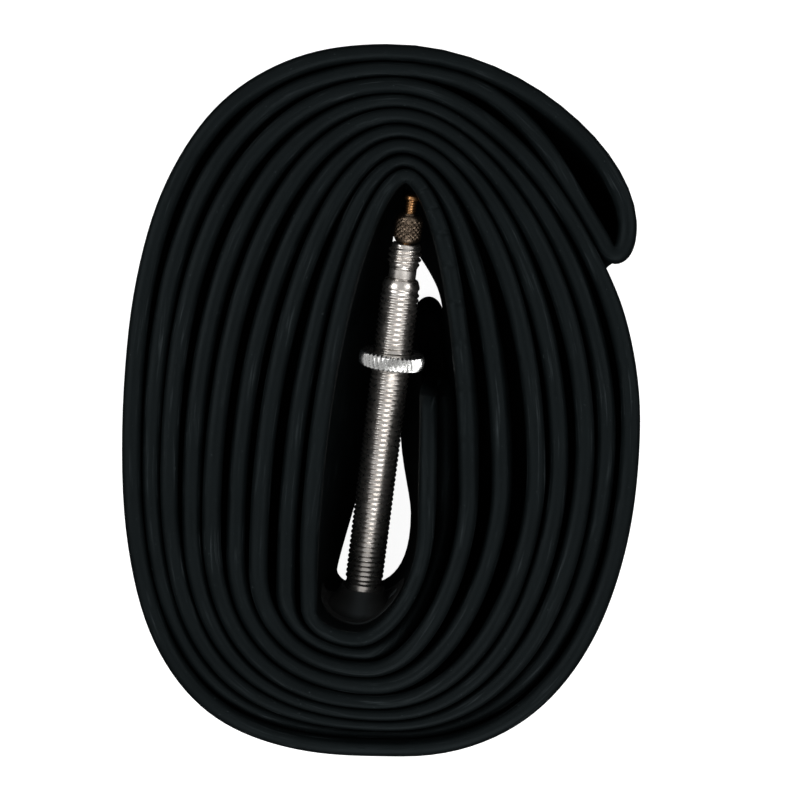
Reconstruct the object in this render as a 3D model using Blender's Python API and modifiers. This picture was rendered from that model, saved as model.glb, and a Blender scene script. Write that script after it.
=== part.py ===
"""Bicycle inner tube with a threaded Presta valve, pressed flat and rolled up.

The flat tube is one endless band. From the valve it runs clockwise outwards through
every odd layer, folds back on itself at the upper right, returns anticlockwise inwards
through every even layer, folds again beside the stem and ends at the valve.
World frame in metres, +Z up. The roll lies on z = 0 with its middle at the origin.
The valve lies inside the innermost layer and points along +Y, its tip a little raised.
"""
import math

import bmesh
import bpy
import numpy as np

MM = 0.001

# Flat tube: 700 x 18-25 size. Layer 1 is the outermost, layer 9 the innermost.
FLAT_WIDTH = 28.0
FLAT_THICKNESS = 1.6
EDGE_TRIM = 1.0
LAYERS = 9
# Distance of each layer's middle from the origin on the roll's four sides.
HEAD_LAYERS = (52.5, 50.2, 47.5, 45.3, 43.1, 40.7, 38.5, 36.2, 34.2)
LEFT_LAYERS = (37.8, 34.8, 32.2, 28.8, 25.7, 22.1, 18.6, 14.5, 11.1)
RIGHT_LAYERS = (37.8, 34.2, 30.9, 27.0, 23.5, 18.2, 13.2, 10.0, 7.0)
FOOT_LAYERS = tuple(52.5 - 2.0 * i for i in range(LAYERS))
# Sideways place of those four crossings, for the outermost and the innermost layer.
HEAD_X = (0.8, 3.7)
FOOT_X = (3.2, -3.6)
LEFT_Y = (-7.8, -32.0)
RIGHT_Y = (-3.0, -18.5)
# Bezier handles of each quarter turn as parts of its width and height,
# at its first and second end, for the outermost and the innermost layer.
CORNERS = {
    ("left", "head"): ((0.74, 0.62), (0.54, 0.38)),
    ("head", "right"): ((0.42, 0.52), (0.52, 0.58)),
    ("right", "foot"): ((0.35, 0.85), (0.36, 0.50)),
    ("foot", "left"): ((0.52, 0.95), (0.56, 0.50)),
}
ARC_POINTS = 9
FOLD_POINTS = 6
# How far the innermost layer's lower edge flares inwards on the four sides,
# its handles between left and head, and how far it bulges in there.
FLARE = {"head": (-1.2, -0.6), "right": (-1.5, 0.0), "foot": (0.0, 5.4), "left": (2.8, 4.2)}
FLARED_HANDLES = (0.06, 0.3)
UNDER_STEM = 3.4
FLARE_LEVELS = 4
FLARE_POWER = 3
# How far the inner fold's lower edge reaches along +Y, shifts in X and opens each way.
FOLD_REACH = (13.5, -1.0, 0.2)
FOOT_CUTTER_DEPTH = 8.0

# Valve: its axis starts on the innermost layer, at the middle of the rubber foot.
SEAT = (-3.5, -33.4, 9.2)
AXIS_TURN = 7.3
AXIS_RISE = 13.0
STEPS = 32

# Heights along the valve axis and radii.
BOOT_TOP = 3.9
BOOT_TOP_RADIUS = 3.55
BOOT_FOOT_RADIUS = 5.4
BOOT_SKIRT_RADIUS = 6.6
STEM_FOOT = 1.2
STEM_FOOT_RADIUS = 3.35
THREAD_START = 5.0
THREAD_END = 52.6
STEM_RADIUS = 3.0
STEM_END = 53.8
STEM_END_RADIUS = 2.5
STEM_BORE_RADIUS = 1.3
CORE_SOCKET_RADIUS = 2.1
CORE_BARREL_BORE = 1.85
CORE_SEAT = 44.6
CORE_CHAMBER_END = 32.0
NECK_RADIUS = 2.4
NECK_END = 55.9
CAP_THREAD_RADIUS = 2.6
CORE_TOP = 59.4
CORE_BOTTOM = 38.2
CORE_BORE_RADIUS = 1.0
FLAT_HALF_WIDTH = 2.1
PIN_RADIUS = 0.85
PIN_END = 67.0
PIN_PEEN_HEIGHT = 0.9
PIN_PEEN_RADIUS = 1.1
PIN_BOTTOM = 35.6
PLUNGER_RADIUS = 1.4
THUMB_NUT_RADIUS = 2.15
THUMB_NUT_HEIGHT = 4.4
THUMB_NUT_COLLAR = 0.3
RIM_NUT_RADIUS = 5.15
RIM_NUT_HEIGHT = 2.5
RIM_NUT_START = 39.9
RUN_CLEARANCE = 0.08
REST_GAP = 0.3


def clear_scene():
    for item in list(bpy.data.objects):
        bpy.data.objects.remove(item, do_unlink=True)


def new_collection(name):
    collection = bpy.data.collections.new(name)
    bpy.context.scene.collection.children.link(collection)
    return collection


def new_material(name, colour, roughness, metallic):
    material = bpy.data.materials.new(name)
    material.use_nodes = True
    shader = material.node_tree.nodes["Principled BSDF"]
    shader.inputs["Base Color"].default_value = (*colour, 1.0)
    shader.inputs["Roughness"].default_value = roughness
    shader.inputs["Metallic"].default_value = metallic
    return material


def new_object(name, mesh, collection, material=None):
    item = bpy.data.objects.new(name, mesh)
    collection.objects.link(item)
    if material:
        item.data.materials.append(material)
    return item


def new_cutter(name, mesh, cutters):
    cutter = new_object(name, mesh, cutters)
    cutter.hide_render = True
    cutter.display_type = "WIRE"
    return cutter


def cut(item, cutter, operation):
    modifier = item.modifiers.new("cut", "BOOLEAN")
    modifier.operation = operation
    modifier.object = cutter
    modifier.solver = "EXACT"


# ---------------------------------------------------------------- tube route

def mix(first, last, part):
    return first + (last - first) * part


def crossing(side, layer, lower):
    """The middle of a layer where it crosses one side of the roll,
    at the band's lower or upper edge."""
    part = (layer - 1) / (LAYERS - 1)
    if side == "head":
        middle = (mix(*HEAD_X, part), HEAD_LAYERS[layer - 1])
    elif side == "foot":
        middle = (mix(*FOOT_X, part), -FOOT_LAYERS[layer - 1])
    elif side == "left":
        middle = (-LEFT_LAYERS[layer - 1], mix(*LEFT_Y, part))
    else:
        middle = (RIGHT_LAYERS[layer - 1], mix(*RIGHT_Y, part))
    flare = FLARE[side] if lower and layer == LAYERS else (0.0, 0.0)
    return np.add(middle, flare)


def bezier(start, handle_a, handle_b, end, count):
    """Points from start up to, but not at, end."""
    t = np.arange(count)[:, None] / count
    return ((1 - t) ** 3 * start + 3 * (1 - t) ** 2 * t * handle_a
            + 3 * (1 - t) * t * t * handle_b + t ** 3 * end)


def quarter_turn(side_a, layer_a, side_b, layer_b, lower):
    """One quarter of a turn, upright at left and right, level at head and foot."""
    clockwise = (side_a, side_b) in CORNERS
    key = (side_a, side_b) if clockwise else (side_b, side_a)
    part = ((layer_a + layer_b) / 2 - 1) / (LAYERS - 1)
    outer, inner = CORNERS[key]
    handles = [mix(a, b, part) for a, b in zip(outer, inner)]
    if lower and key == ("left", "head") and layer_a == LAYERS:
        handles = list(FLARED_HANDLES)
    if not clockwise:
        handles.reverse()
    start = crossing(side_a, layer_a, lower)
    end = crossing(side_b, layer_b, lower)
    leg = end - start
    level_start = side_a in ("head", "foot")
    pull_a = np.array([leg[0], 0.0]) if level_start else np.array([0.0, leg[1]])
    pull_b = leg - pull_a
    points = bezier(start, start + pull_a * handles[0], end - pull_b * handles[1], end, ARC_POINTS)
    if lower and layer_a == LAYERS and key == ("left", "head"):
        points[:, 0] += UNDER_STEM * np.sin(np.pi * np.arange(ARC_POINTS) / ARC_POINTS) ** 2
    return points


def smooth_run(knots):
    """Joins knots of (point, heading in degrees, handle before, handle after)."""
    pieces = []
    for (p, a, _, after), (q, b, before, _) in zip(knots, knots[1:]):
        heading_a = np.array([math.cos(math.radians(a)), math.sin(math.radians(a))])
        heading_b = np.array([math.cos(math.radians(b)), math.sin(math.radians(b))])
        p, q = np.array(p), np.array(q)
        pieces.append(bezier(p, p + heading_a * after, q - heading_b * before, q, FOLD_POINTS))
    return pieces


def outer_fold(lower):
    return smooth_run([
        (crossing("head", 1, lower), 0, 0, 20.0),
        ((37.3, 27.0), -87, 10.0, 2.6),
        ((35.4, 22.0), 180, 1.4, 1.4),
        ((32.8, 25.1), 121, 2.2, 16.0),
        (crossing("head", 2, lower), 180, 19.0, 0)])


def inner_fold(lower):
    """The fold beside the stem. Its lower edge reaches further towards the valve's tip."""
    reach, shift, bulge = FOLD_REACH if lower else (0.0, 0.0, 0.0)
    return smooth_run([
        (crossing("right", 8, lower), 90, 0, 8.0),
        ((9.9 + shift + bulge, 0.5 + reach), 92, 6.0, 1.2),
        ((8.6 + shift, 2.6 + reach), 180, 0.8, 0.8),
        ((7.3 + shift - bulge, 0.5 + reach), -90, 1.2, 8.0),
        (crossing("right", 9, lower), -90, 6.0, 11.0),
        (crossing("foot", 9, lower), 180, 4.0, 0)])


def tube_route(lower=False):
    """Middle line of the band along its upper or lower edge."""
    pieces = [
        quarter_turn("foot", 9, "left", 9, lower),
        quarter_turn("left", 9, "head", 9, lower),
        quarter_turn("head", 9, "right", 7, lower)]
    for layer in (7, 5, 3, 1):
        pieces.append(quarter_turn("right", layer, "foot", layer, lower))
        pieces.append(quarter_turn("foot", layer, "left", layer, lower))
        pieces.append(quarter_turn("left", layer, "head", layer, lower))
        if layer > 1:
            pieces.append(quarter_turn("head", layer, "right", layer - 2, lower))
    pieces += outer_fold(lower)
    for layer in (2, 4, 6, 8):
        pieces.append(quarter_turn("head", layer, "left", layer, lower))
        pieces.append(quarter_turn("left", layer, "foot", layer, lower))
        pieces.append(quarter_turn("foot", layer, "right", layer, lower))
        if layer < 8:
            pieces.append(quarter_turn("right", layer, "head", layer + 2, lower))
    pieces += inner_fold(lower)
    return np.vstack(pieces)


def inward_normals(route):
    """Unit vectors to the right of the direction of travel."""
    ahead = np.roll(route, -1, axis=0) - np.roll(route, 1, axis=0)
    ahead /= np.linalg.norm(ahead, axis=1)[:, None]
    return np.stack([ahead[:, 1], -ahead[:, 0]], axis=1)


# ---------------------------------------------------------------- tube solids

def band_surface(name, upper, lower, closed):
    """The band's middle surface between its two edge routes. It has extra levels
    where it flares, and stands past both edges, which are trimmed level afterwards."""
    mesh = bpy.data.meshes.new(name)
    bm = bmesh.new()
    columns = []
    for high, low in zip(upper, lower):
        flare = low - high
        levels = FLARE_LEVELS if np.linalg.norm(flare) > 0.05 else 2
        column = []
        for height in np.linspace(-EDGE_TRIM, FLAT_WIDTH + EDGE_TRIM, levels):
            depth = max(0.0, 1 - height / FLAT_WIDTH)
            place = high + flare * depth ** FLARE_POWER
            column.append(bm.verts.new((place[0] * MM, place[1] * MM, height * MM)))
        columns.append(column)
    pairs = list(zip(columns, columns[1:]))
    if closed:
        pairs.append((columns[-1], columns[0]))
    for a, b in pairs:
        if len(a) == len(b):
            for i in range(len(a) - 1):
                bm.faces.new((a[i], b[i], b[i + 1], a[i + 1]))
        else:
            bm.faces.new(b + a[::-1])
    bm.to_mesh(mesh)
    bm.free()
    return mesh


def solidify(item, thickness, offset):
    modifier = item.modifiers.new("thickness", "SOLIDIFY")
    modifier.thickness = thickness * MM
    modifier.offset = offset
    modifier.use_even_offset = True


def shade_round(item, angle=35.0):
    item.data.shade_smooth()
    item.data.set_sharp_from_angle(angle=math.radians(angle))


def make_edge_slab(cutters):
    """The slab between the two levels where the band's edges end."""
    mesh = bpy.data.meshes.new("edge_slab")
    bm = bmesh.new()
    made = bmesh.ops.create_cube(bm, size=1.0)
    size = (3 * LEFT_LAYERS[0] * MM, 3 * HEAD_LAYERS[0] * MM, FLAT_WIDTH * MM)
    bmesh.ops.scale(bm, verts=made["verts"], vec=size)
    bmesh.ops.translate(bm, verts=made["verts"], vec=(0.0, 0.0, FLAT_WIDTH / 2 * MM))
    bm.to_mesh(mesh)
    bm.free()
    return new_cutter("edge_slab", mesh, cutters)


def make_tube_body(parts, cutters, material):
    mesh = band_surface("tube_body", tube_route(), tube_route(lower=True), True)
    tube = new_object("tube_body", mesh, parts, material)
    shade_round(tube)
    solidify(tube, FLAT_THICKNESS, 0.0)
    cut(tube, make_edge_slab(cutters), "INTERSECT")
    return tube


def make_foot_cutter(cutters):
    """Everything from just above the innermost wall outwards, near the valve."""
    lift = FLAT_THICKNESS / 2 + REST_GAP
    edges = []
    for lower in (False, True):
        route = tube_route(lower)
        raised = route + inward_normals(route) * lift
        edges.append(np.roll(raised, FOLD_POINTS, axis=0)[1:FOLD_POINTS + ARC_POINTS])
    mesh = band_surface("foot_cutter", *edges, False)
    cutter = new_cutter("foot_cutter", mesh, cutters)
    solidify(cutter, FOOT_CUTTER_DEPTH, -1.0)
    return cutter


# ---------------------------------------------------------------- valve solids

def make_valve_axis(parts):
    axis = bpy.data.objects.new("valve_axis", None)
    axis.location = [value * MM for value in SEAT]
    axis.rotation_euler = (math.radians(AXIS_RISE - 90), 0.0, math.radians(-AXIS_TURN))
    parts.objects.link(axis)
    return axis


def turned(name, profile, axis, parts, material, height=0.0):
    """A turned piece. The profile holds (radius, height) points; it is closed when
    it keeps off the axis, and its outer side runs from top to bottom."""
    closed = all(radius > 0 for radius, _ in profile)
    mesh = bpy.data.meshes.new(name)
    bm = bmesh.new()
    verts = [bm.verts.new((radius * MM, 0.0, (z - height) * MM)) for radius, z in profile]
    for a, b in zip(verts, verts[1:]):
        bm.edges.new((a, b))
    if closed:
        bm.edges.new((verts[-1], verts[0]))
    bm.to_mesh(mesh)
    bm.free()
    item = new_object(name, mesh, parts, material)
    item.parent = axis
    item.location = (0.0, 0.0, height * MM)
    screw = item.modifiers.new("turn", "SCREW")
    screw.steps = STEPS
    screw.render_steps = STEPS
    screw.use_merge_vertices = True
    screw.merge_threshold = 0.00001
    screw.use_smooth_shade = True
    return item


def make_valve_base(axis, parts, cutters, material):
    """Rubber cone round the stem's foot, hollowed on the curve of the tube wall."""
    pocket = STEM_FOOT_RADIUS + REST_GAP
    bore = STEM_RADIUS + REST_GAP
    deep = -2.5
    profile = [
        (BOOT_TOP_RADIUS, BOOT_TOP), (BOOT_TOP_RADIUS + 0.25, BOOT_TOP - 0.3),
        (BOOT_FOOT_RADIUS, 0.9), (BOOT_SKIRT_RADIUS, 0.5), (BOOT_SKIRT_RADIUS, deep),
        (pocket, deep), (pocket, STEM_FOOT + 1.2), (bore, STEM_FOOT + 1.2), (bore, BOOT_TOP)]
    base = turned("valve_base", profile, axis, parts, material)
    cut(base, make_foot_cutter(cutters), "DIFFERENCE")
    return base


def make_valve_stem(axis, parts, material):
    foot_top = STEM_FOOT + 0.9
    profile = [
        (STEM_END_RADIUS, STEM_END), (STEM_END_RADIUS + 0.1, STEM_END - 0.2),
        (STEM_RADIUS, THREAD_END), (STEM_RADIUS, THREAD_START),
        (STEM_RADIUS - 0.1, THREAD_START - 0.3), (STEM_RADIUS, foot_top),
        (STEM_FOOT_RADIUS, foot_top), (STEM_FOOT_RADIUS, STEM_FOOT),
        (STEM_BORE_RADIUS, STEM_FOOT), (STEM_BORE_RADIUS, CORE_CHAMBER_END),
        (CORE_BARREL_BORE, CORE_CHAMBER_END + 0.5), (CORE_BARREL_BORE, CORE_SEAT - 0.5),
        (CORE_SOCKET_RADIUS, CORE_SEAT), (CORE_SOCKET_RADIUS, STEM_END)]
    return turned("valve_stem", profile, axis, parts, material)


def make_core_body(axis, parts, cutters, material):
    """Screwed-in core: cap thread, waist with two flats, socket thread, barrel."""
    socket = CORE_SOCKET_RADIUS - 0.15
    barrel = CORE_BARREL_BORE - REST_GAP
    groove = barrel - 0.4
    groove_top = CORE_SEAT - 1.0
    profile = [
        (CAP_THREAD_RADIUS - 0.3, CORE_TOP), (CAP_THREAD_RADIUS, CORE_TOP - 0.3),
        (CAP_THREAD_RADIUS, NECK_END), (NECK_RADIUS, NECK_END - 0.3),
        (NECK_RADIUS, STEM_END + REST_GAP), (socket, STEM_END + REST_GAP),
        (socket, CORE_SEAT + 0.4), (barrel, CORE_SEAT - 0.2), (barrel, groove_top),
        (groove, groove_top), (groove, groove_top - 1.2), (barrel, groove_top - 1.2),
        (barrel, CORE_BOTTOM), (CORE_BORE_RADIUS, CORE_BOTTOM), (CORE_BORE_RADIUS, CORE_TOP)]
    core = turned("core_body", profile, axis, parts, material)
    cut(core, make_flats_cutter(axis, cutters), "DIFFERENCE")
    return core


def make_flats_cutter(axis, cutters):
    """Two blocks that leave the spanner flats on the core's waist."""
    mesh = bpy.data.meshes.new("flats_cutter")
    bm = bmesh.new()
    low, high = STEM_END + 0.1, NECK_END - 0.35
    for side in (-1, 1):
        made = bmesh.ops.create_cube(bm, size=1.0)
        verts = made["verts"]
        bmesh.ops.scale(bm, verts=verts, vec=(2 * MM, 8 * MM, (high - low) * MM))
        shift = (side * (FLAT_HALF_WIDTH + 1.0) * MM, 0.0, (high + low) / 2 * MM)
        bmesh.ops.translate(bm, verts=verts, vec=shift)
    bm.to_mesh(mesh)
    bm.free()
    cutter = new_cutter("flats_cutter", mesh, cutters)
    cutter.parent = axis
    return cutter


def make_core_seal(axis, parts, material):
    inner = CORE_BARREL_BORE - REST_GAP - 0.4 + 0.12
    outer = CORE_BARREL_BORE - 0.12
    top = CORE_SEAT - 1.0 - 0.15
    bottom = top - 0.9
    profile = [(outer, top), (outer, bottom), (inner, bottom), (inner, top)]
    return turned("core_seal", profile, axis, parts, material)


def make_core_pin(axis, parts, material):
    neck = PIN_END - PIN_PEEN_HEIGHT
    profile = [
        (0.0, PIN_END), (0.7 * PIN_PEEN_RADIUS, PIN_END - 0.1),
        (PIN_PEEN_RADIUS, PIN_END - 0.4), (PIN_PEEN_RADIUS, neck), (PIN_RADIUS, neck),
        (PIN_RADIUS, PIN_BOTTOM + 0.8), (PLUNGER_RADIUS, PIN_BOTTOM + 0.8),
        (PLUNGER_RADIUS, PIN_BOTTOM + 0.2), (PLUNGER_RADIUS - 0.3, PIN_BOTTOM), (0.0, PIN_BOTTOM)]
    return turned("core_pin", profile, axis, parts, material, height=PIN_END)


def make_plunger_seal(axis, parts, material):
    top = CORE_BOTTOM - REST_GAP
    bottom = PIN_BOTTOM + 0.8 + REST_GAP
    inner = PIN_RADIUS + 0.12
    outer = PLUNGER_RADIUS + 0.1
    profile = [
        (outer - 0.2, top), (outer, top - 0.2), (outer, bottom), (inner, bottom), (inner, top)]
    return turned("plunger_seal", profile, axis, parts, material, height=PIN_BOTTOM)


def make_thumb_nut(axis, parts, material):
    bottom = CORE_TOP + REST_GAP
    top = bottom + THUMB_NUT_HEIGHT
    bore = PIN_RADIUS + RUN_CLEARANCE
    profile = [
        (bore + 0.25, top), (bore + 0.25, top - THUMB_NUT_COLLAR),
        (THUMB_NUT_RADIUS - 0.35, top - THUMB_NUT_COLLAR),
        (THUMB_NUT_RADIUS, top - THUMB_NUT_COLLAR - 0.35),
        (THUMB_NUT_RADIUS, bottom + 0.3), (THUMB_NUT_RADIUS - 0.3, bottom),
        (bore, bottom), (bore, top)]
    return turned("thumb_nut", profile, axis, parts, material, height=bottom)


def make_rim_nut(axis, parts, material):
    bottom = RIM_NUT_START
    top = bottom + RIM_NUT_HEIGHT
    bore = STEM_RADIUS + RUN_CLEARANCE
    edge = 0.3
    profile = [
        (RIM_NUT_RADIUS - edge, top), (RIM_NUT_RADIUS, top - edge),
        (RIM_NUT_RADIUS, bottom + edge), (RIM_NUT_RADIUS - edge, bottom),
        (bore, bottom), (bore, top)]
    return turned("rim_nut", profile, axis, parts, material, height=bottom)


def main():
    clear_scene()
    parts = new_collection("inner_tube")
    cutters = new_collection("inner_tube_cutters")
    butyl = new_material("butyl_rubber", (0.022, 0.025, 0.027), 0.55, 0.0)
    boot_rubber = new_material("boot_rubber", (0.015, 0.015, 0.015), 0.5, 0.0)
    nickel = new_material("nickel_plate", (0.70, 0.67, 0.62), 0.25, 1.0)
    bright_nickel = new_material("bright_nickel", (0.78, 0.77, 0.76), 0.3, 1.0)
    bronze = new_material("dark_bronze", (0.22, 0.16, 0.11), 0.4, 1.0)
    brass = new_material("brass", (0.72, 0.45, 0.20), 0.3, 1.0)
    seal_rubber = new_material("seal_rubber", (0.02, 0.02, 0.02), 0.6, 0.0)
    axis = make_valve_axis(parts)
    make_tube_body(parts, cutters, butyl)
    make_valve_base(axis, parts, cutters, boot_rubber)
    make_valve_stem(axis, parts, nickel)
    make_core_body(axis, parts, cutters, nickel)
    make_core_seal(axis, parts, seal_rubber)
    make_core_pin(axis, parts, brass)
    make_plunger_seal(axis, parts, seal_rubber)
    make_thumb_nut(axis, parts, bronze)
    make_rim_nut(axis, parts, bright_nickel)


main()
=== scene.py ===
"""Looks of the rolled bicycle inner tube and its threaded Presta valve.

Lengths are in millimetres and become metres through MM where meshes are made.
The band's crossings and the valve's heights repeat the CAD model's driving dimensions.
The band's lower edge leans in a little further than in the CAD model.
"""
import math

import bmesh
import bpy
import numpy as np
from mathutils import Matrix, Vector
from mathutils.bvhtree import BVHTree


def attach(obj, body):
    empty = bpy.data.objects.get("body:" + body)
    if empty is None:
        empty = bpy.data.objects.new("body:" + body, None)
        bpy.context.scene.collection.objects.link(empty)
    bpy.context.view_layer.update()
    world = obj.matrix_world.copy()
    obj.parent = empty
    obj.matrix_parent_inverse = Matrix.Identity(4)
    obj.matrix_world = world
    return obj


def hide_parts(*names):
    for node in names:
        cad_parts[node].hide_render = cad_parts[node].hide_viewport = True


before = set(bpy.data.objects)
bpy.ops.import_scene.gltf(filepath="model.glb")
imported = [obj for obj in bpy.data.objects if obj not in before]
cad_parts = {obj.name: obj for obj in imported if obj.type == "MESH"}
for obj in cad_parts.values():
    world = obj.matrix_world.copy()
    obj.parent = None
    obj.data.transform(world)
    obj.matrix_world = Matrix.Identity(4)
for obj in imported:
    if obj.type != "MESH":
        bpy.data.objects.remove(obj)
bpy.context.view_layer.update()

MM = 0.001

# ---------------------------------------------------------------- tube dimensions
FLAT_WIDTH = 28.0
LAYERS = 9
HEAD_LAYERS = (52.5, 50.2, 47.5, 45.3, 43.1, 40.7, 38.5, 36.2, 34.2)
LEFT_LAYERS = (37.8, 34.8, 32.2, 28.8, 25.7, 22.1, 18.6, 14.5, 11.1)
RIGHT_LAYERS = (37.8, 34.2, 30.9, 27.0, 23.5, 18.2, 13.2, 10.0, 7.0)
FOOT_LAYERS = tuple(52.5 - 2.0 * i for i in range(LAYERS))
HEAD_X = (0.8, 3.7)
FOOT_X = (3.2, -3.6)
LEFT_Y = (-7.8, -32.0)
RIGHT_Y = (-3.0, -18.5)
CORNERS = {
    ("left", "head"): ((0.74, 0.62), (0.54, 0.38)),
    ("head", "right"): ((0.42, 0.52), (0.52, 0.58)),
    ("right", "foot"): ((0.35, 0.85), (0.36, 0.50)),
    ("foot", "left"): ((0.52, 0.95), (0.56, 0.50)),
}
OUTWARD = {"head": (0, 1), "foot": (0, -1), "left": (-1, 0), "right": (1, 0)}
# How far the innermost layer's lower edge is moved in X and Y where it crosses each side.
# Up the band every such move fades with this power of the depth.
FLARE = {"head": (-1.2, 0.1), "right": (-1.5, 0.0), "foot": (0.0, 5.4), "left": (2.8, 4.2)}
FLARE_POWER = 3
# To the left of the stem that lower edge has its own handles and bulges in under the stem.
FLARED_LEG = (("left", 9), ("head", 9))
FLARED_HANDLES = (0.06, 0.5)
UNDER_STEM = 4.2
# Past the valve's tip it bulges in again, over the first part of the next leg.
UNDER_TIP = 3.4
UNDER_TIP_END = 0.6
# How far the inner fold's lower edge reaches along +Y, shifts in X and opens, how far its
# last strand bulges towards the stem, and how far the fold's upper edge dips.
FOLD_REACH = (13.5, -1.0, 0.2)
BESIDE_STEM = 2.0
FOLD_DIP = 11.0
# How far a layer's upper edge leans outwards, and how far it sinks below its neighbours'.
LEAN = {
    ("foot", 2): 0.4, ("foot", 3): 0.8, ("foot", 4): 1.2, ("foot", 5): 1.6, ("foot", 6): 0.8,
    ("foot", 7): 0.3,
}
SINK = {
    ("foot", 2): 2.6, ("foot", 3): 0.3, ("foot", 6): 0.3, ("foot", 8): 1.2,
    ("right", 8): 10.0, ("right", 2): 0.8, ("left", 6): 0.8, ("left", 8): 0.7,
    ("head", 2): 0.5, ("head", 4): 0.4, ("head", 6): 0.5, ("head", 8): 0.8,
    ("right", 4): 0.4, ("right", 6): 0.9, ("left", 2): 0.4, ("left", 4): 0.4,
}
# Slow S bend over a layer's height: outwards in its upper half, inwards in its lower half.
BEND = {
    ("right", 5): 0.8, ("right", 6): 1.5, ("right", 7): 1.5, ("right", 8): 1.1,
    ("left", 6): 0.6, ("left", 7): 0.9, ("left", 8): 1.1, ("head", 8): 0.5, ("head", 7): 0.5,
}
# Points on one leg of the route, and between two knots of a fold.
LEG_POINTS = 40
FOLD_POINTS = 14
# Small cross wrinkles on the tight turn over the valve's tip.
CREASED_LEG = (("head", 9), ("right", 7))
CREASED_POINTS = 170
CREASES = 9
CREASE_SPACING = 5.0
CREASE_DEPTH = 0.22
CREASE_WIDTH = 0.35
# The band's section: half widths of its walls and of the beads at its edges, and the
# height over which a bead thins out into the wall.
WALL_HEIGHTS = (3.0, 6.0, 9.5, 13.0, 16.5, 20.0, 22.8, 25.0)
ARC_STEPS = 6
WALL_HALF = 0.74
TOP_BEAD = 1.45
FOOT_BEAD = 0.88
BEAD_REACH = 2.6
# The upper edge wavers by RIPPLE: a sum of waves, each repeated so many times on the loop.
RIPPLE = 0.28
RIPPLE_WAVES = 9
RIPPLE_REPEATS = (12, 130)
RIPPLE_SEED = 3
# A neighbour is a point at least this far on along the band, nearly abreast and to one side.
NEIGHBOUR_ALONG = 8.0
NEIGHBOUR_ABREAST = 1.6
NEIGHBOUR_ASIDE = 0.2
NO_NEIGHBOUR = 99.0
PRESS_GAP = 0.03
# From this part of the height up to FILL_TOP a strand puffs out until it meets neighbours
# that are closer than FILL_RANGE of its largest half width. The inner fold stays slim.
FILL_START = 0.1
FILL_TOP = 12.0
FILL_HALF = 2.9
FILL_RANGE = 2.4
FILL_FADE = 4
# One unit of the map along the band, for its die lines and dust.
ROUTE_MAP_UNIT = 10.0

# ---------------------------------------------------------------- valve dimensions
# Heights run along the valve's axis, from SEAT towards the tip.
SEAT = (-3.5, -33.4, 9.2)
AXIS_TURN = 7.3
AXIS_RISE = 13.0
BOOT_TOP = 3.9
BOOT_TOP_RADIUS = 3.55
BOOT_FOOT_RADIUS = 5.4
BOOT_CLEARANCE = 0.05
BOOT_PAD_DEPTH = 4.0
BOOT_RAY_START = 2.0
STEM_FOOT = 1.2
STEM_FOOT_HEIGHT = 0.9
STEM_FOOT_RADIUS = 3.35
THREAD_START = 5.0
THREAD_END = 52.6
STEM_RADIUS = 3.0
STEM_PITCH = 0.8
STEM_THREAD_DEPTH = 0.26
STEM_END = 53.8
STEM_END_RADIUS = 2.5
STEM_BORE_RADIUS = 1.3
CORE_SOCKET_RADIUS = 2.1
CORE_BARREL_BORE = 1.85
CORE_SEAT = 44.6
CORE_CHAMBER_END = 32.0
NECK_RADIUS = 2.4
NECK_END = 55.9
CAP_THREAD_RADIUS = 2.6
CAP_THREAD_DEPTH = 0.42
CAP_PITCH = 0.85
CORE_TOP = 59.4
CORE_BOTTOM = 38.2
CORE_BORE_RADIUS = 1.0
FLAT_HALF_WIDTH = 2.1
PIN_RADIUS = 0.85
PIN_THREAD_START = CORE_TOP - 3.0
PIN_THREAD_DEPTH = 0.09
PIN_PITCH = 0.4
PIN_END = 67.0
PIN_PEEN_HEIGHT = 0.9
PIN_PEEN_RADIUS = 1.1
PIN_BOTTOM = 35.6
PLUNGER_RADIUS = 1.4
REST_GAP = 0.3
THUMB_NUT_RADIUS = 2.15
THUMB_NUT_BOTTOM = CORE_TOP + REST_GAP
THUMB_NUT_TOP = THUMB_NUT_BOTTOM + 4.4
THUMB_NUT_COLLAR = 0.3
THUMB_NUT_DIAMONDS = 18
THUMB_NUT_ROWS = 30
DIAMOND_HEIGHT = 0.75
DIAMOND_DEPTH = 0.2
RIM_NUT_RADIUS = 5.15
RIM_NUT_HEIGHT = 2.5
RIM_NUT_START = 39.9
RIM_NUT_TEETH = 40
RIM_NUT_ROWS = 10
TOOTH_DEPTH = 0.5
TOOTH_SLANT = 0.42
KNURL_STEPS = 6
RUN_CLEARANCE = 0.08
ROUND_STEPS = 64
PIN_STEPS = 40
MERGE_DISTANCE = 0.000003
# One turn of a thread, as parts of its pitch and of its depth.
THREAD_PROFILE = (
    (0.0, 0.0), (0.12, 0.0), (0.42, 0.9), (0.5, 1.0), (0.58, 1.0), (0.66, 0.9), (0.94, 0.06))

# ---------------------------------------------------------------- stage dimensions
# In metres, but for the lens and the sensor, which are in millimetres.
FLOOR_HALF_WIDTH = 2.0
FLOOR_DROP = 0.00002
FLOOR_GLOW = 0.94
DOME_STRENGTH = 0.5
LIGHT_TARGET = (0, 0, 0.014)
CAMERA_AT = (0.00287, 0.0, 0.334)
CAMERA_SENSOR = 36.0
CAMERA_LENS = 91.44
CAMERA_CLIP_START = 0.01


# ---------------------------------------------------------------- helpers

def add_object(name, mesh, material, body, replaced):
    """Puts a finished mesh in the scene with its finish and rides it on its body."""
    item = bpy.data.objects.new(name, mesh)
    bpy.context.scene.collection.objects.link(item)
    item.data.materials.append(material)
    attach(item, body)
    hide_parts(*replaced)
    return item


def mix(first, last, part):
    return first + (last - first) * part


def smoothstep(t):
    return t * t * (3 - 2 * t)


# ---------------------------------------------------------------- tube route

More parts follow.
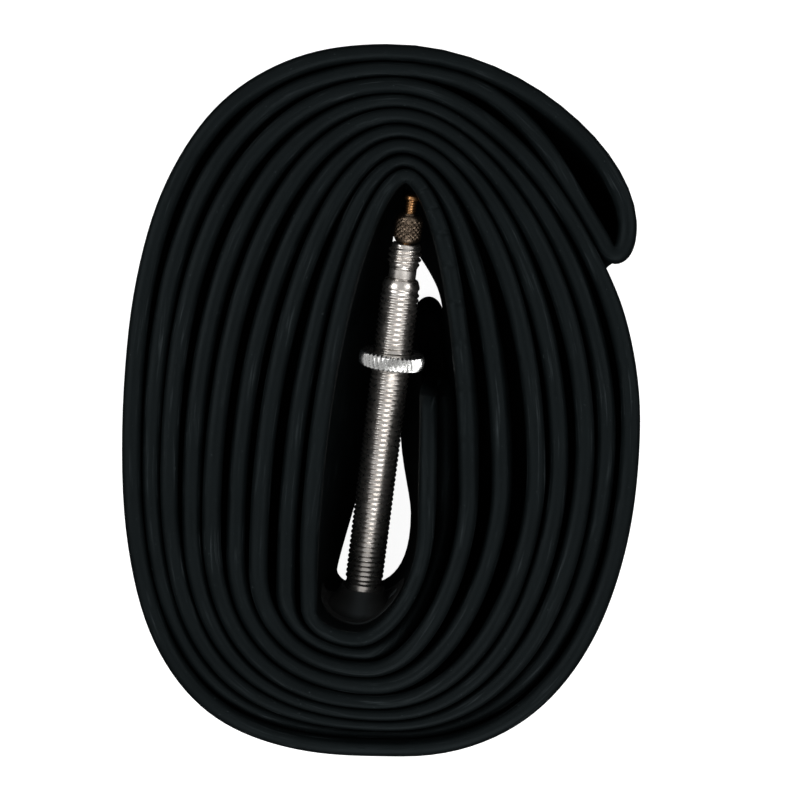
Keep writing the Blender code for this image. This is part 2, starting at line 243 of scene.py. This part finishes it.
def crossing(side, layer):
    """The middle of a layer where it crosses one side of the roll."""
    part = (layer - 1) / (LAYERS - 1)
    if side == "head":
        return np.array([mix(*HEAD_X, part), HEAD_LAYERS[layer - 1]])
    if side == "foot":
        return np.array([mix(*FOOT_X, part), -FOOT_LAYERS[layer - 1]])
    if side == "left":
        return np.array([-LEFT_LAYERS[layer - 1], mix(*LEFT_Y, part)])
    return np.array([RIGHT_LAYERS[layer - 1], mix(*RIGHT_Y, part)])


def place(stop, edge):
    """A crossing at the band's lower, middle or upper edge."""
    side, layer = stop
    outward = np.array(OUTWARD[side], float)
    if edge == "lower" and layer == LAYERS:
        return crossing(side, layer) + FLARE[side]
    if edge == "upper":
        return crossing(side, layer) + outward * LEAN.get(stop, 0.0)
    return crossing(side, layer)


def bezier(start, handle_a, handle_b, end, count):
    t = np.arange(count)[:, None] / count
    return ((1 - t) ** 3 * start + 3 * (1 - t) ** 2 * t * handle_a
            + 3 * (1 - t) * t * t * handle_b + t ** 3 * end)


def quarter_turn(a, b, edge, count):
    """One quarter of a turn, upright at left and right, level at head and foot."""
    clockwise = (a[0], b[0]) in CORNERS
    outer, inner = CORNERS[(a[0], b[0]) if clockwise else (b[0], a[0])]
    part = ((a[1] + b[1]) / 2 - 1) / (LAYERS - 1)
    handles = [mix(p, q, part) for p, q in zip(outer, inner)]
    if edge == "lower" and (a, b) == FLARED_LEG:
        handles = list(FLARED_HANDLES)
    if not clockwise:
        handles.reverse()
    start, end = place(a, edge), place(b, edge)
    span = end - start
    pull_a = np.array([span[0], 0.0]) if a[0] in ("head", "foot") else np.array([0.0, span[1]])
    pull_b = span - pull_a
    return bezier(start, start + pull_a * handles[0], end - pull_b * handles[1], end, count)


def smooth_run(knots):
    """Joins knots of (point, heading in degrees, handle before, handle after)."""
    pieces = []
    for (p, a, _, after), (q, b, before, _) in zip(knots, knots[1:]):
        heading_a = np.array([math.cos(math.radians(a)), math.sin(math.radians(a))])
        heading_b = np.array([math.cos(math.radians(b)), math.sin(math.radians(b))])
        p, q = np.array(p), np.array(q)
        pieces.append(bezier(p, p + heading_a * after, q - heading_b * before, q, FOLD_POINTS))
    return np.vstack(pieces)


def outer_fold(edge):
    return smooth_run([
        (place(("head", 1), edge), 0, 0, 20.0),
        ((37.3, 27.0), -87, 10.0, 2.6),
        ((35.4, 22.0), 180, 1.4, 1.4),
        ((32.8, 25.1), 121, 2.2, 16.0),
        (place(("head", 2), edge), 180, 19.0, 0)])


def inner_fold(edge):
    reach, shift, bulge = FOLD_REACH if edge == "lower" else (0.0, 0.0, 0.0)
    return smooth_run([
        (place(("right", 8), edge), 90, 0, 8.0),
        ((9.9 + shift + bulge, 0.5 + reach), 92, 6.0, 1.2),
        ((8.6 + shift, 2.6 + reach), 180, 0.8, 0.8),
        ((7.3 + shift - bulge, 0.5 + reach), -90, 1.2, 8.0),
        (place(("right", 9), edge), -90, 6.0, 0)])


def fold_exit(edge):
    return smooth_run([
        (place(("right", 9), edge), -90, 0, 11.0),
        (place(("foot", 9), edge), 180, 4.0, 0)])


def stops():
    """Every crossing in the band's order, from the valve back to the valve."""
    order = [("foot", 9), ("left", 9), ("head", 9)]
    for layer in (7, 5, 3, 1):
        order += [(side, layer) for side in ("right", "foot", "left", "head")]
    for layer in (2, 4, 6, 8):
        order += [(side, layer) for side in ("head", "left", "foot", "right")]
    return order + [("right", 9)]


def leg(a, b, edge):
    """The band between two crossings, with the bulges of the innermost lower edge."""
    if a == ("head", 1):
        return outer_fold(edge)
    if a == ("right", 8):
        points = inner_fold(edge)
        if edge == "lower":
            t = np.arange(FOLD_POINTS) / FOLD_POINTS
            points[-FOLD_POINTS:, 0] -= BESIDE_STEM * np.sin(np.pi * t) ** 2
        return points
    if a == ("right", 9):
        return fold_exit(edge)
    points = quarter_turn(a, b, edge, CREASED_POINTS if (a, b) == CREASED_LEG else LEG_POINTS)
    t = np.linspace(0, 1, len(points), endpoint=False)
    if edge == "lower" and (a, b) == CREASED_LEG:
        points[:, 0] -= UNDER_TIP * np.sin(np.pi * np.minimum(1.0, t / UNDER_TIP_END)) ** 2
    if edge == "lower" and (a, b) == FLARED_LEG:
        points[:, 0] += UNDER_STEM * np.sin(np.pi * t) ** 2
    return points


def legs():
    order = stops()
    return list(zip(order, order[1:] + order[:1]))


def route(edge):
    return np.vstack([leg(a, b, edge) for a, b in legs()])


def along_route(table, fold_extra=0.0):
    """A value for each point of the route, from a table of values at the crossings.
    The inner fold takes an extra amount, most of it at the fold itself."""
    values = []
    for a, b in legs():
        t = smoothstep(np.linspace(0, 1, len(leg(a, b, "middle")), endpoint=False))
        value = mix(table.get(a, 0.0), table.get(b, 0.0), t)
        if a == ("right", 8):
            value = value + fold_extra * np.sin(np.pi * t) ** 2
        values.append(value)
    return np.concatenate(values)


def crease_depths():
    """How deep the cross wrinkles are at each point of the route."""
    depths = []
    for a, b in legs():
        count = len(leg(a, b, "middle"))
        if (a, b) == CREASED_LEG:
            t = np.arange(count) / count * (CREASES + 1)
            near = np.abs((t + 0.5) % 1 - 0.5) * CREASE_SPACING
            swell = CREASE_DEPTH * np.sin(np.pi * t / (CREASES + 1))
            depths.append(np.exp(-(near / CREASE_WIDTH) ** 2) * swell)
        else:
            depths.append(np.zeros(count))
    return np.concatenate(depths)


def normals(points):
    """Unit vectors to the right of the direction of travel."""
    ahead = np.roll(points, -1, axis=0) - np.roll(points, 1, axis=0)
    ahead /= np.linalg.norm(ahead, axis=1)[:, None]
    return np.stack([ahead[:, 1], -ahead[:, 0]], axis=1)


def travelled(points):
    steps = np.linalg.norm(np.diff(points, axis=0, append=points[:1]), axis=1)
    return np.concatenate([[0.0], np.cumsum(steps)[:-1]]), steps.sum()


def room(points, side_normals, path, length, widest, fill):
    """Half width that each point takes on its right and on its left.
    It is widest, or fill beside a near strand, and it ends short of that strand."""
    tangents = np.stack([-side_normals[:, 1], side_normals[:, 0]], axis=1)
    gap = points[None, :, :] - points[:, None, :]
    out = np.einsum("ijk,ik->ij", gap, side_normals)
    forward = np.abs(np.einsum("ijk,ik->ij", gap, tangents))
    apart = np.abs(path[None, :] - path[:, None])
    apart = np.minimum(apart, length - apart)
    other = (apart > NEIGHBOUR_ALONG) & (forward < NEIGHBOUR_ABREAST)
    halves = []
    for sign in (1, -1):
        aside = out * sign
        distance = np.where(other & (aside > NEIGHBOUR_ASIDE), aside, NO_NEIGHBOUR).min(axis=1)
        half = np.where(distance < FILL_RANGE * fill, np.maximum(widest, fill), widest)
        half = np.minimum(half, distance / 2 - PRESS_GAP)
        half = np.minimum.reduce([np.roll(half, k) for k in (-1, 0, 1)])
        halves.append(np.mean([np.roll(half, k) for k in (-2, -1, 0, 1, 2)], axis=0))
    return halves


def ripple(path, length):
    """A slow, closed random wave between -1 and 1."""
    rng = np.random.default_rng(RIPPLE_SEED)
    wave = np.zeros_like(path)
    for _ in range(RIPPLE_WAVES):
        repeats = rng.integers(*RIPPLE_REPEATS)
        wave += rng.uniform(0.4, 1.0) * np.sin(2 * np.pi * (repeats * path / length + rng.random()))
    return wave / np.abs(wave).max()


def section_rows(middle, lower, upper):
    """Lines of points along the band, one for each place round its section."""
    path, length = travelled(middle)
    waver = RIPPLE * (1 + ripple(path, length))
    top = FLAT_WIDTH - along_route(SINK, FOLD_DIP) - crease_depths() - waver
    bend = middle * (along_route(BEND) / np.linalg.norm(middle, axis=1))[:, None]
    in_fold = np.minimum(1.0, FILL_FADE * along_route({}, 1.0))
    puffed = FILL_HALF * (1 - in_fold)

    def at(level):
        points = middle + (lower - middle) * (1 - level) ** FLARE_POWER
        return points + (upper - middle) * level ** 2 - bend * math.sin(2 * math.pi * level)

    def wall(level, widest):
        points = at(level)
        side = normals(points)
        fill = puffed if FILL_START < level < FILL_TOP / FLAT_WIDTH else np.zeros_like(puffed)
        right, left = room(points, side, path, length, widest, fill)
        return points, side, right, left

    lower_points, lower_side, lower_right, lower_left = wall(0.0, FOOT_BEAD)
    upper_points, upper_side, upper_right, upper_left = wall(1.0, TOP_BEAD)
    up, down = [], []
    for height in WALL_HEIGHTS:
        bead = TOP_BEAD if height > FLAT_WIDTH / 2 else FOOT_BEAD
        edge = min(height, FLAT_WIDTH - height)
        half = WALL_HALF + (bead - WALL_HALF) * math.exp(-(edge / BEAD_REACH) ** 2)
        points, side, right, left = wall(height / FLAT_WIDTH, half)
        z = height * top / FLAT_WIDTH
        up.append((points + side * right[:, None], z))
        down.append((points - side * left[:, None], z))
    upper_bead = (upper_right + upper_left) / 2
    lower_bead = (lower_right + lower_left) / 2
    over, under = [], []
    for step in range(ARC_STEPS + 1):
        angle = math.pi * step / ARC_STEPS
        c, s = math.cos(angle), math.sin(angle)
        half = upper_right if c > 0 else upper_left
        over.append((upper_points + upper_side * (half * c)[:, None], top - upper_bead * (1 - s)))
        half = lower_left if c > 0 else lower_right
        under.append((lower_points - lower_side * (half * c)[:, None], lower_bead * (1 - s)))
    rings = up + over + down[::-1] + under
    return [np.column_stack([xy, z]) for xy, z in rings], path


def make_tube(material):
    middle, lower, upper = route("middle"), route("lower"), route("upper")
    rings, path = section_rows(middle, lower, upper)
    grid = np.stack(rings, axis=1)
    columns, around = grid.shape[:2]
    mesh = bpy.data.meshes.new("tube")
    index = np.arange(columns * around).reshape(columns, around)
    nxt = np.roll(index, -1, axis=0)
    faces = np.stack([index, nxt, np.roll(nxt, -1, axis=1), np.roll(index, -1, axis=1)], axis=2)
    mesh.from_pydata((grid.reshape(-1, 3) * MM).tolist(), [], faces.reshape(-1, 4).tolist())
    around_length = np.linalg.norm(np.diff(grid, axis=1, append=grid[:, :1]), axis=2).cumsum(axis=1)
    route_map = mesh.uv_layers.new(name="route")
    loops = faces.reshape(-1)
    column, place_in_ring = loops // around, loops % around
    uv = np.stack([path[column], around_length[column, place_in_ring]], axis=1) / ROUTE_MAP_UNIT
    route_map.uv.foreach_set("vector", uv.reshape(-1).astype(np.float32))
    close_mesh(mesh)
    return add_object("tube", mesh, material, "tube", ("tube_body",))


def close_mesh(mesh, merge=0.0):
    """Faces out, smooth shading, and no doubled points where columns meet."""
    bm = bmesh.new()
    bm.from_mesh(mesh)
    if merge:
        bmesh.ops.remove_doubles(bm, verts=bm.verts, dist=merge)
        bmesh.ops.dissolve_degenerate(bm, edges=bm.edges, dist=merge)
    bmesh.ops.recalc_face_normals(bm, faces=bm.faces)
    bm.to_mesh(mesh)
    bm.free()
    mesh.shade_smooth()


# ---------------------------------------------------------------- turned pieces

def valve_matrix():
    turn = Matrix.Rotation(math.radians(-AXIS_TURN), 4, "Z")
    rise = Matrix.Rotation(math.radians(AXIS_RISE - 90), 4, "X")
    return Matrix.Translation(Vector(SEAT) * MM) @ turn @ rise


def turned(name, columns, sharp=35.0):
    """A closed round mesh from columns of (radius, height) points, one for each angle.
    The last column repeats the first, one full turn on. A column that starts on the
    axis also ends there, so only a bored piece joins its last point to its first."""
    steps = len(columns) - 1
    verts, faces = [], []
    count = len(columns[0])
    bored = columns[0][0][0] > 0
    for i, column in enumerate(columns):
        angle = 2 * math.pi * i / steps
        c, s = math.cos(angle), math.sin(angle)
        for radius, height in column:
            verts.append((radius * MM * c, radius * MM * s, height * MM))
    for i in range(steps):
        for k in range(count if bored else count - 1):
            a, b = i * count + k, i * count + (k + 1) % count
            faces.append((a, a + count, b + count, b))
    mesh = bpy.data.meshes.new(name)
    mesh.from_pydata(verts, [], faces)
    mesh.transform(valve_matrix())
    close_mesh(mesh, merge=MERGE_DISTANCE)
    mesh.set_sharp_from_angle(angle=math.radians(sharp))
    return mesh


def threaded(before, start, end, radius, depth, pitch, after, steps=ROUND_STEPS):
    """Columns of a piece with a right-handed screw thread between two heights."""
    turns = int((end - start) / pitch) + 2
    columns = []
    for i in range(steps + 1):
        column = list(before)
        shift = pitch * (i / steps - 1)
        for turn in range(turns):
            for part, rise in THREAD_PROFILE:
                height = start + shift + (turn + part) * pitch
                fade = min((height - start) / pitch, (end - height) / pitch)
                fade = min(1.0, max(0.0, fade))
                height = min(end, max(start, height))
                column.append((radius - depth + depth * rise * fade, height))
        columns.append(column + list(after))
    return columns


def triangle_wave(value):
    return abs(value % 1.0 - 0.5) * 2


def make_stem(material):
    foot_top = STEM_FOOT + STEM_FOOT_HEIGHT
    root = STEM_RADIUS - STEM_THREAD_DEPTH
    before = [
        (STEM_BORE_RADIUS, CORE_CHAMBER_END), (STEM_BORE_RADIUS, STEM_FOOT),
        (STEM_FOOT_RADIUS, STEM_FOOT), (STEM_FOOT_RADIUS, foot_top), (STEM_RADIUS, foot_top),
        (STEM_RADIUS, THREAD_START - 0.75), (STEM_RADIUS - 0.08, THREAD_START - 0.6),
        (root, THREAD_START - 0.35)]
    after = [
        (root, THREAD_END - 0.25), (STEM_END_RADIUS + 0.42, THREAD_END - 0.1),
        (STEM_END_RADIUS + 0.40, THREAD_END + 0.25),
        (STEM_END_RADIUS + 0.1, STEM_END - 0.15), (STEM_END_RADIUS, STEM_END),
        (CORE_SOCKET_RADIUS, STEM_END), (CORE_SOCKET_RADIUS, CORE_SEAT),
        (CORE_BARREL_BORE, CORE_SEAT - 0.5), (CORE_BARREL_BORE, CORE_CHAMBER_END + 0.5)]
    columns = threaded(before, THREAD_START - 0.3, THREAD_END - 0.3, STEM_RADIUS,
                       STEM_THREAD_DEPTH, STEM_PITCH, after)
    mesh = turned("stem", columns)
    return add_object("stem", mesh, material, "tube", ("valve_stem",))


def make_core(material):
    """The core: barrel, waist and cap thread, with two spanner flats below the thread."""
    socket = CORE_SOCKET_RADIUS - 0.15
    barrel = CORE_BARREL_BORE - REST_GAP
    groove = barrel - 0.4
    groove_top = CORE_SEAT - 1.0
    root = CAP_THREAD_RADIUS - CAP_THREAD_DEPTH
    before = [
        (CORE_BORE_RADIUS, CORE_TOP), (CORE_BORE_RADIUS, CORE_BOTTOM), (barrel, CORE_BOTTOM),
        (barrel, groove_top - 1.2), (groove, groove_top - 1.2), (groove, groove_top),
        (barrel, groove_top), (barrel, CORE_SEAT - 0.2), (socket, CORE_SEAT + 0.4),
        (socket, STEM_END + REST_GAP), (NECK_RADIUS - 0.1, STEM_END + REST_GAP),
        (NECK_RADIUS, STEM_END + REST_GAP + 0.1), (NECK_RADIUS, NECK_END - 0.45),
        (root, NECK_END - 0.2)]
    after = [(root, CORE_TOP - 0.1), (root - 0.1, CORE_TOP)]
    columns = threaded(before, NECK_END - 0.15, CORE_TOP - 0.15, CAP_THREAD_RADIUS,
                       CAP_THREAD_DEPTH, CAP_PITCH, after)
    # The flats: below the thread no point is further than FLAT_HALF_WIDTH to either side.
    for i, column in enumerate(columns):
        reach = FLAT_HALF_WIDTH / max(0.1, abs(math.cos(2 * math.pi * i / ROUND_STEPS)))
        column[:len(before)] = [(min(radius, reach), height) for radius, height in before]
    mesh = turned("core", columns)
    return add_object("core", mesh, material, "tube", ("core_body",))


def make_pin(material):
    """The pin: plunger at the foot, fine thread, and a peened tip."""
    neck = PIN_END - PIN_PEEN_HEIGHT
    before = [
        (0.0, PIN_BOTTOM), (PLUNGER_RADIUS - 0.3, PIN_BOTTOM), (PLUNGER_RADIUS, PIN_BOTTOM + 0.2),
        (PLUNGER_RADIUS, PIN_BOTTOM + 0.8), (PIN_RADIUS - 0.1, PIN_BOTTOM + 0.8)]
    after = [
        (PIN_RADIUS - 0.08, neck), (PIN_PEEN_RADIUS - 0.12, neck), (PIN_PEEN_RADIUS, neck + 0.12),
        (PIN_PEEN_RADIUS, neck + 0.4), (PIN_PEEN_RADIUS - 0.08, neck + 0.62),
        (0.62 * PIN_PEEN_RADIUS, PIN_END - 0.06), (0.3 * PIN_PEEN_RADIUS, PIN_END - 0.02),
        (0.0, PIN_END - 0.1)]
    columns = threaded(before, PIN_THREAD_START, neck - 0.02, PIN_RADIUS,
                       PIN_THREAD_DEPTH, PIN_PITCH, after, PIN_STEPS)
    return add_object("pin", turned("pin", columns), material, "core_pin", ("core_pin",))


def make_thumb_nut(material):
    """The lock nut: diamond knurl, chamfered ends and a low collar."""
    bore = PIN_RADIUS + RUN_CLEARANCE
    shoulder = THUMB_NUT_TOP - THUMB_NUT_COLLAR
    low, high = THUMB_NUT_BOTTOM + 0.32, shoulder - 0.38
    rows = THUMB_NUT_ROWS
    columns = []
    for i in range(THUMB_NUT_DIAMONDS * KNURL_STEPS + 1):
        around = i / KNURL_STEPS
        column = [
            (bore, THUMB_NUT_TOP), (bore, THUMB_NUT_BOTTOM),
            (THUMB_NUT_RADIUS - 0.42, THUMB_NUT_BOTTOM)]
        for row in range(rows + 1):
            height = mix(low, high, row / rows)
            climb = (height - low) / DIAMOND_HEIGHT
            rise = min(triangle_wave(around + climb), triangle_wave(around - climb))
            fade = smoothstep(min(1.0, row / 3, (rows - row) / 3))
            relief = DIAMOND_DEPTH * min(1.0, rise * 1.5) * fade
            column.append((THUMB_NUT_RADIUS - DIAMOND_DEPTH + relief, height))
        column += [
            (THUMB_NUT_RADIUS - 0.34, shoulder - 0.12), (THUMB_NUT_RADIUS - 0.5, shoulder),
            (bore + 0.25, shoulder), (bore + 0.25, THUMB_NUT_TOP - 0.06),
            (bore + 0.19, THUMB_NUT_TOP)]
        columns.append(column)
    name = "thumb_nut_knurled"
    mesh = turned(name, columns)
    return add_object(name, mesh, material, "thumb_nut", ("thumb_nut",))


def make_rim_nut(material):
    """The rim nut: slanted teeth round the edge, chamfers, and a countersunk thread."""
    bore = STEM_RADIUS + RUN_CLEARANCE
    bottom, top = RIM_NUT_START, RIM_NUT_START + RIM_NUT_HEIGHT
    rows = RIM_NUT_ROWS
    columns = []
    for i in range(RIM_NUT_TEETH * KNURL_STEPS + 1):
        column = [
            (bore, top - 0.25), (bore, bottom + 0.25), (bore + 0.3, bottom),
            (RIM_NUT_RADIUS - 0.72, bottom), (RIM_NUT_RADIUS - 0.6, bottom + 0.05)]
        for row in range(rows + 1):
            height = mix(bottom + 0.28, top - 0.28, row / rows)
            rise = triangle_wave(i / KNURL_STEPS + (height - bottom) * TOOTH_SLANT)
            fade = 0.72 + 0.28 * math.sin(math.pi * row / rows)
            relief = TOOTH_DEPTH * min(1.0, rise * 1.1) * fade
            column.append((RIM_NUT_RADIUS - TOOTH_DEPTH + relief, height))
        column += [
            (RIM_NUT_RADIUS - 0.6, top - 0.05), (RIM_NUT_RADIUS - 0.72, top), (bore + 0.3, top)]
        columns.append(column)
    mesh = turned("rim_nut_ring", columns, sharp=30.0)
    return add_object("rim_nut_ring", mesh, material, "rim_nut", ("rim_nut",))


def make_boot(tube, material):
    """Rubber cone on the valve's foot, with a pad that follows the tube wall."""
    bm = bmesh.new()
    bm.from_mesh(tube.data)
    wall = BVHTree.FromBMesh(bm)
    bm.free()
    valve = valve_matrix()
    down = (valve.to_3x3() @ Vector((0, 0, -1))).normalized()
    bore = STEM_RADIUS + BOOT_CLEARANCE
    cone = [
        (bore, BOOT_TOP - 0.1), (bore + 0.12, BOOT_TOP), (BOOT_TOP_RADIUS - 0.1, BOOT_TOP),
        (BOOT_TOP_RADIUS, BOOT_TOP - 0.12),
        (BOOT_TOP_RADIUS + 0.25, BOOT_TOP - 0.9), (BOOT_TOP_RADIUS + 0.75, BOOT_TOP - 1.8),
        (BOOT_FOOT_RADIUS - 0.35, 1.25), (BOOT_FOOT_RADIUS, 0.85)]
    pad = [
        (BOOT_FOOT_RADIUS + 0.05, 0.62), (BOOT_FOOT_RADIUS + 0.55, 0.42),
        (BOOT_FOOT_RADIUS + 1.0, 0.34), (BOOT_FOOT_RADIUS + 1.12, 0.12),
        (BOOT_FOOT_RADIUS + 1.1, -0.15), (bore, -0.15)]
    columns = []
    for i in range(ROUND_STEPS + 1):
        angle = 2 * math.pi * i / ROUND_STEPS
        column = list(cone)
        for radius, lift in pad:
            x, y, z = radius * math.cos(angle), radius * math.sin(angle), BOOT_TOP + BOOT_RAY_START
            hit = wall.ray_cast(valve @ (Vector((x, y, z)) * MM), down)[0]
            depth = (valve.inverted() @ hit).z / MM if hit else 0.0
            column.append((radius, max(depth, -BOOT_PAD_DEPTH) + lift))
        columns.append(column)
    mesh = turned("boot", columns, sharp=50.0)
    return add_object("boot", mesh, material, "tube", ("valve_base",))


# ---------------------------------------------------------------- materials

def set_range(made, from_low, from_high, to_low, to_high):
    """Fills in the limits of a Map Range node."""
    limits = {"From Min": from_low, "From Max": from_high, "To Min": to_low, "To Max": to_high}
    for key, number in limits.items():
        made.inputs[key].default_value = number


class Surface:
    """A procedural material, built node by node round a Principled shader."""

    def __init__(self, name, metallic=0.0, specular=0.5):
        self.material = bpy.data.materials.new(name)
        self.material.use_nodes = True
        self.tree = self.material.node_tree
        self.shader = self.tree.nodes["Principled BSDF"]
        self.shader.inputs["Metallic"].default_value = metallic
        self.shader.inputs["Specular IOR Level"].default_value = specular

    def node(self, kind, **inputs):
        made = self.tree.nodes.new(kind)
        for key, value in inputs.items():
            self.feed(made.inputs[key.replace("_", " ")], value)
        return made

    def feed(self, socket, value):
        if hasattr(value, "is_output"):
            self.tree.links.new(value, socket)
        else:
            socket.default_value = value

    def coords(self):
        return self.node("ShaderNodeTexCoord").outputs["Object"]

    def route_coords(self, scale):
        source = self.node("ShaderNodeUVMap")
        source.uv_map = "route"
        mapping = self.node("ShaderNodeMapping", Scale=scale)
        self.tree.links.new(source.outputs["UV"], mapping.inputs["Vector"])
        return mapping.outputs["Vector"]

    def noise(self, vector, scale, detail, roughness=0.55):
        made = self.node("ShaderNodeTexNoise", Vector=vector, Scale=scale, Detail=detail,
                         Roughness=roughness)
        return made.outputs["Fac"]

    def ramp(self, value, low, high, to_low=0.0, to_high=1.0):
        made = self.node("ShaderNodeMapRange", Value=value)
        set_range(made, low, high, to_low, to_high)
        return made.outputs["Result"]

    def math(self, operation, a, b):
        made = self.tree.nodes.new("ShaderNodeMath")
        made.operation = operation
        self.feed(made.inputs[0], a)
        self.feed(made.inputs[1], b)
        return made.outputs[0]

    def blend(self, factor, a, b):
        made = self.tree.nodes.new("ShaderNodeMix")
        made.data_type = "RGBA"
        self.feed(made.inputs["Factor"], factor)
        for socket, colour in ((made.inputs[6], a), (made.inputs[7], b)):
            self.feed(socket, (*colour, 1.0) if isinstance(colour, tuple) else colour)
        return made.outputs[2]

    def finish(self, colour, roughness, height, distance, strength):
        self.feed(self.shader.inputs["Base Color"], colour)
        self.feed(self.shader.inputs["Roughness"], roughness)
        bump = self.node("ShaderNodeBump", Height=height, Distance=distance, Strength=strength)
        self.tree.links.new(bump.outputs["Normal"], self.shader.inputs["Normal"])
        return self.material


def rubber(name, base, dust, dust_amount, specular, route=True):
    """Satin butyl: fine grain, faint die lines and a little dust.
    With a route map the lines and the dust run along the band."""
    s = Surface(name, specular=specular)
    s.shader.inputs["Specular Tint"].default_value = (0.76, 0.94, 1.0, 1.0)
    here = s.coords()
    grain = s.noise(here, 5200.0, 3.0, 0.6)
    cloud = s.noise(here, 140.0, 3.0)
    lines_at = s.route_coords((0.5, 26.0, 1.0)) if route else here
    lines = s.noise(lines_at, 3.0 if route else 900.0, 3.0, 0.6)
    streak_at = s.route_coords((0.35, 9.0, 1.0)) if route else here
    streaks = s.noise(streak_at, 2.2 if route else 400.0, 5.0, 0.65)
    mask = s.math("MULTIPLY", s.ramp(streaks, 0.56, 0.78), s.ramp(cloud, 0.40, 0.68))
    specks = s.ramp(s.noise(here, 2100.0, 2.0, 0.5), 0.70, 0.80)
    mask = s.math("MULTIPLY", s.math("MAXIMUM", mask, s.math("MULTIPLY", specks, 0.5)), dust_amount)
    tone = s.blend(s.ramp(cloud, 0.3, 0.7), base, tuple(c * 1.45 for c in base))
    colour = s.blend(mask, tone, dust)
    roughness = s.math("ADD", s.ramp(cloud, 0.3, 0.7, 0.48, 0.60), s.math("MULTIPLY", mask, 0.25))
    height = s.math("ADD", s.math("MULTIPLY", grain, 0.35), lines)
    return s.finish(colour, roughness, height, 0.00005, 0.55)


def metal(name, light, dark, low, high, grime, pits=0.5):
    """Plated or bare metal: uneven tone, fine grain, and grime in patches."""
    s = Surface(name, metallic=1.0)
    here = s.coords()
    cloud = s.noise(here, 420.0, 4.0)
    fine = s.noise(here, 6500.0, 3.0, 0.6)
    smudge = s.noise(here, 1300.0, 5.0, 0.65)
    tone = s.blend(s.ramp(cloud, 0.32, 0.68), light, dark)
    stain = s.math("MULTIPLY", s.ramp(smudge, 0.52, 0.74), grime)
    colour = s.blend(stain, tone, tuple(c * 0.35 for c in dark))
    roughness = s.math("ADD", s.ramp(smudge, 0.3, 0.75, low, high), s.math("MULTIPLY", fine, 0.06))
    return s.finish(colour, roughness, fine, 0.00003, pits)


# ---------------------------------------------------------------- stage

def make_floor():
    s = Surface("floor_paper", specular=0.2)
    cloud = s.noise(s.coords(), 9.0, 3.0)
    colour = s.blend(cloud, (0.40, 0.40, 0.40), (0.43, 0.43, 0.43))
    s.shader.inputs["Emission Color"].default_value = (1.0, 1.0, 1.0, 1.0)
    s.shader.inputs["Emission Strength"].default_value = FLOOR_GLOW
    s.finish(colour, 0.8, cloud, 0.00002, 0.1)
    mesh = bpy.data.meshes.new("floor")
    bm = bmesh.new()
    bmesh.ops.create_grid(bm, x_segments=8, y_segments=8, size=FLOOR_HALF_WIDTH)
    bm.to_mesh(mesh)
    bm.free()
    floor = bpy.data.objects.new("floor", mesh)
    floor.location.z = -FLOOR_DROP
    floor.data.materials.append(s.material)
    floor.visible_diffuse = False
    floor.visible_glossy = False
    bpy.context.scene.collection.objects.link(floor)


def add_area(name, place_at, size, power):
    data = bpy.data.lights.new(name, "AREA")
    data.shape = "RECTANGLE"
    data.size, data.size_y = size
    data.energy = power
    lamp = bpy.data.objects.new(name, data)
    lamp.location = place_at
    aim = Vector(LIGHT_TARGET) - Vector(place_at)
    lamp.rotation_euler = aim.to_track_quat("-Z", "Y").to_euler()
    bpy.context.scene.collection.objects.link(lamp)


def make_lights():
    """A white dome that is dark near the horizon, two softboxes and a strip."""
    world = bpy.data.worlds.new("studio")
    bpy.context.scene.world = world
    world.use_nodes = True
    tree = world.node_tree
    background = tree.nodes["Background"]
    background.inputs["Strength"].default_value = DOME_STRENGTH
    ray = tree.nodes.new("ShaderNodeTexCoord")
    split = tree.nodes.new("ShaderNodeSeparateXYZ")
    dome = tree.nodes.new("ShaderNodeMapRange")
    set_range(dome, 0.0, 0.25, 0.02, 1.0)
    tree.links.new(ray.outputs["Generated"], split.inputs["Vector"])
    tree.links.new(split.outputs["Z"], dome.inputs["Value"])
    tree.links.new(dome.outputs["Result"], background.inputs["Color"])
    add_area("softbox_foot", (0.10, -0.55, 0.55), (0.45, 0.30), 3.0)
    add_area("softbox_left", (-0.55, 0.20, 0.50), (0.25, 0.55), 2.2)
    add_area("strip_right", (0.50, 0.15, 0.40), (0.12, 0.5), 1.0)


def make_camera():
    data = bpy.data.cameras.new("camera")
    data.sensor_width = CAMERA_SENSOR
    data.lens = CAMERA_LENS
    data.clip_start = CAMERA_CLIP_START
    camera = bpy.data.objects.new("camera", data)
    camera.location = CAMERA_AT
    bpy.context.scene.collection.objects.link(camera)
    bpy.context.scene.camera = camera


def dress_seals(material):
    for node in ("core_seal", "plunger_seal"):
        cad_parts[node].material_slots[0].material = material


def main():
    butyl = rubber("butyl", (0.0014, 0.0021, 0.0023), (0.070, 0.084, 0.090), 0.50, 0.105)
    boot_rubber = rubber(
        "boot_butyl", (0.016, 0.0155, 0.015), (0.08, 0.08, 0.08), 0.25, 0.4, route=False)
    nickel = metal("nickel", (0.80, 0.76, 0.72), (0.64, 0.60, 0.56), 0.20, 0.34, 0.08, 0.08)
    bright = metal(
        "bright_nickel_plate", (0.76, 0.76, 0.75), (0.62, 0.62, 0.61), 0.18, 0.30, 0.10, 0.2)
    bronze = metal("bronze", (0.17, 0.13, 0.095), (0.085, 0.062, 0.045), 0.26, 0.42, 0.6)
    brass = metal("raw_brass", (0.50, 0.27, 0.12), (0.30, 0.14, 0.055), 0.24, 0.42, 0.45)
    tube = make_tube(butyl)
    make_boot(tube, boot_rubber)
    make_stem(nickel)
    make_core(nickel)
    make_pin(brass)
    make_thumb_nut(bronze)
    make_rim_nut(bright)
    dress_seals(boot_rubber)
    make_floor()
    make_lights()
    make_camera()
    bpy.context.scene.view_settings.view_transform = "Standard"


main()
